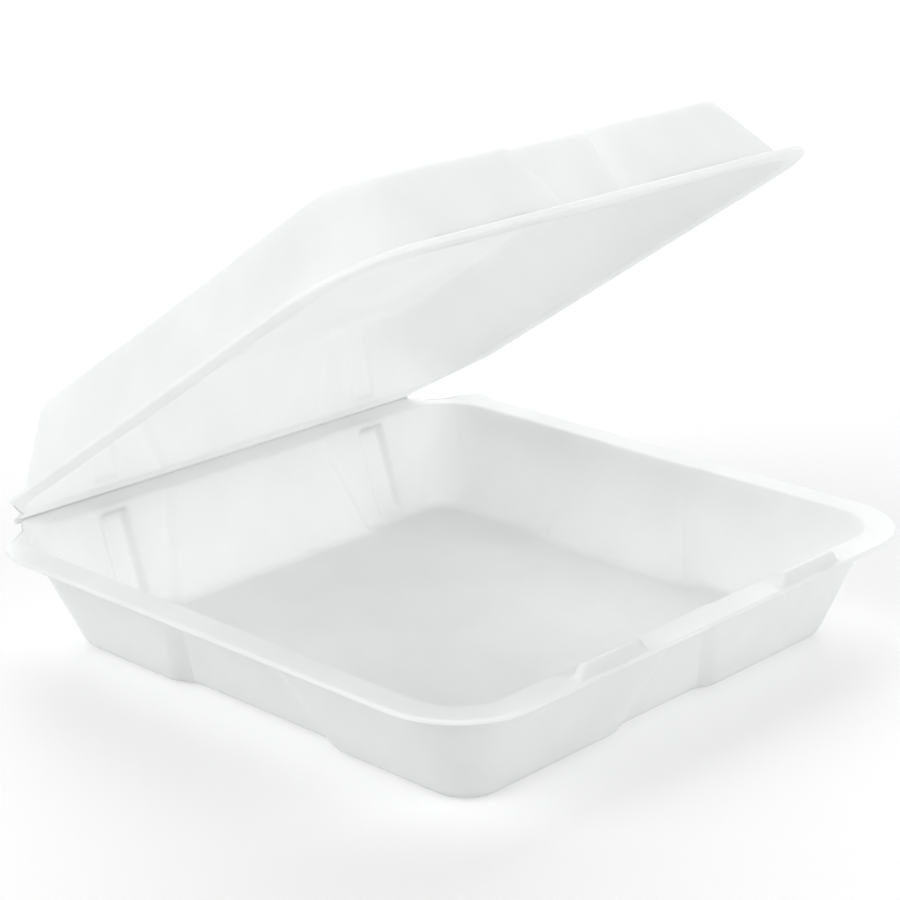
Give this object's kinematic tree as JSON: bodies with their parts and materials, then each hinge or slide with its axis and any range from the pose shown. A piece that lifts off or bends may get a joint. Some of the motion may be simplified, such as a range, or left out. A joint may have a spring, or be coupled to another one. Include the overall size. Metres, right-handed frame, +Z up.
{
  "type": "foam clamshell container",
  "caption": "Hinged foam takeaway box: a shallow square tray with flared fluted walls and a flanged rim, and a lid of the same shape held open on its living hinge.",
  "frame": {"origin": "centre of the tray's flat foot, midway between the hinge line and the tray's front edge", "axes": "+Z up, +Y from the front lock towards the hinge, +X along the hinge line to the right as seen from the front"},
  "size_m": [0.241, 0.2352, 0.1844],
  "materials": {
    "tray_foam": "satin white foam sheet",
    "lid_foam": "satin white foam sheet"
  },
  "bodies": {
    "base": {"base_tray": "tray_foam"},
    "cover": {"lid": "lid_foam"}
  },
  "joints": [
    {"name": "lid_hinge", "type": "hinge", "parent": "base", "child": "cover", "pos_m": [0, 0.117, 0.0396], "axis": [-1, 0, 0], "range_deg": [-34.5, 145.5]}
  ]
}
